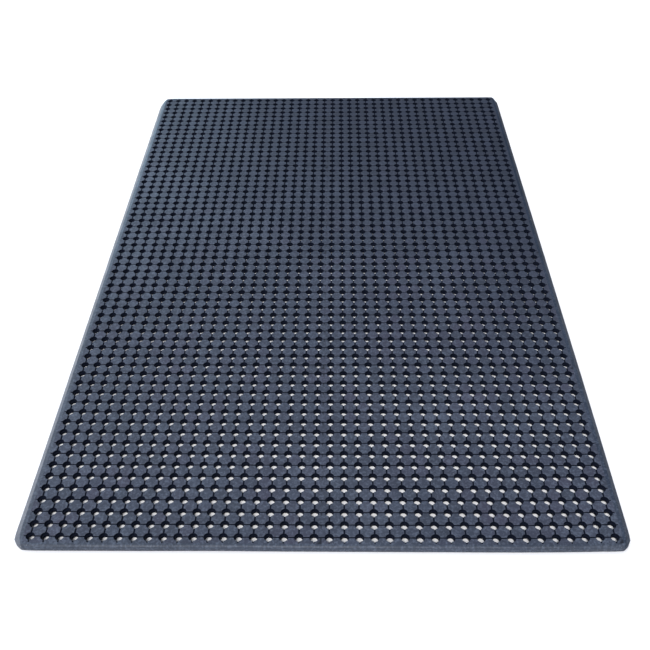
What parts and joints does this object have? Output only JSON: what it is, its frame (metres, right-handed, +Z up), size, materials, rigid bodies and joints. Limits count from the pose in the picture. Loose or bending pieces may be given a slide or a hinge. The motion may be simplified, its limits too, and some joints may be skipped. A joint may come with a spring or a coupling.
{
  "type": "anti fatigue mat",
  "caption": "Rectangular dark rubber anti-fatigue floor mat with a square grid of round drain holes and a plain bevelled border.",
  "frame": {"origin": "on the floor, under the centre of the mat", "axes": "+Z up out of the standing face; +Y along the mat, from the short edge nearest the viewer to the far one; +X across the mat, to the right"},
  "size_m": [0.992, 1.498, 0.012],
  "materials": {
    "tread_rubber": "matt, finely grained",
    "border_rubber": "matt, smoother than the tread"
  },
  "bodies": {
    "root": {"tread_panel_front": "tread_rubber", "tread_panel_mid_front": "tread_rubber", "tread_panel_mid_back": "tread_rubber", "tread_panel_back": "tread_rubber", "border_front": "border_rubber", "border_back": "border_rubber", "border_left": "border_rubber", "border_right": "border_rubber"}
  },
  "joints": []
}
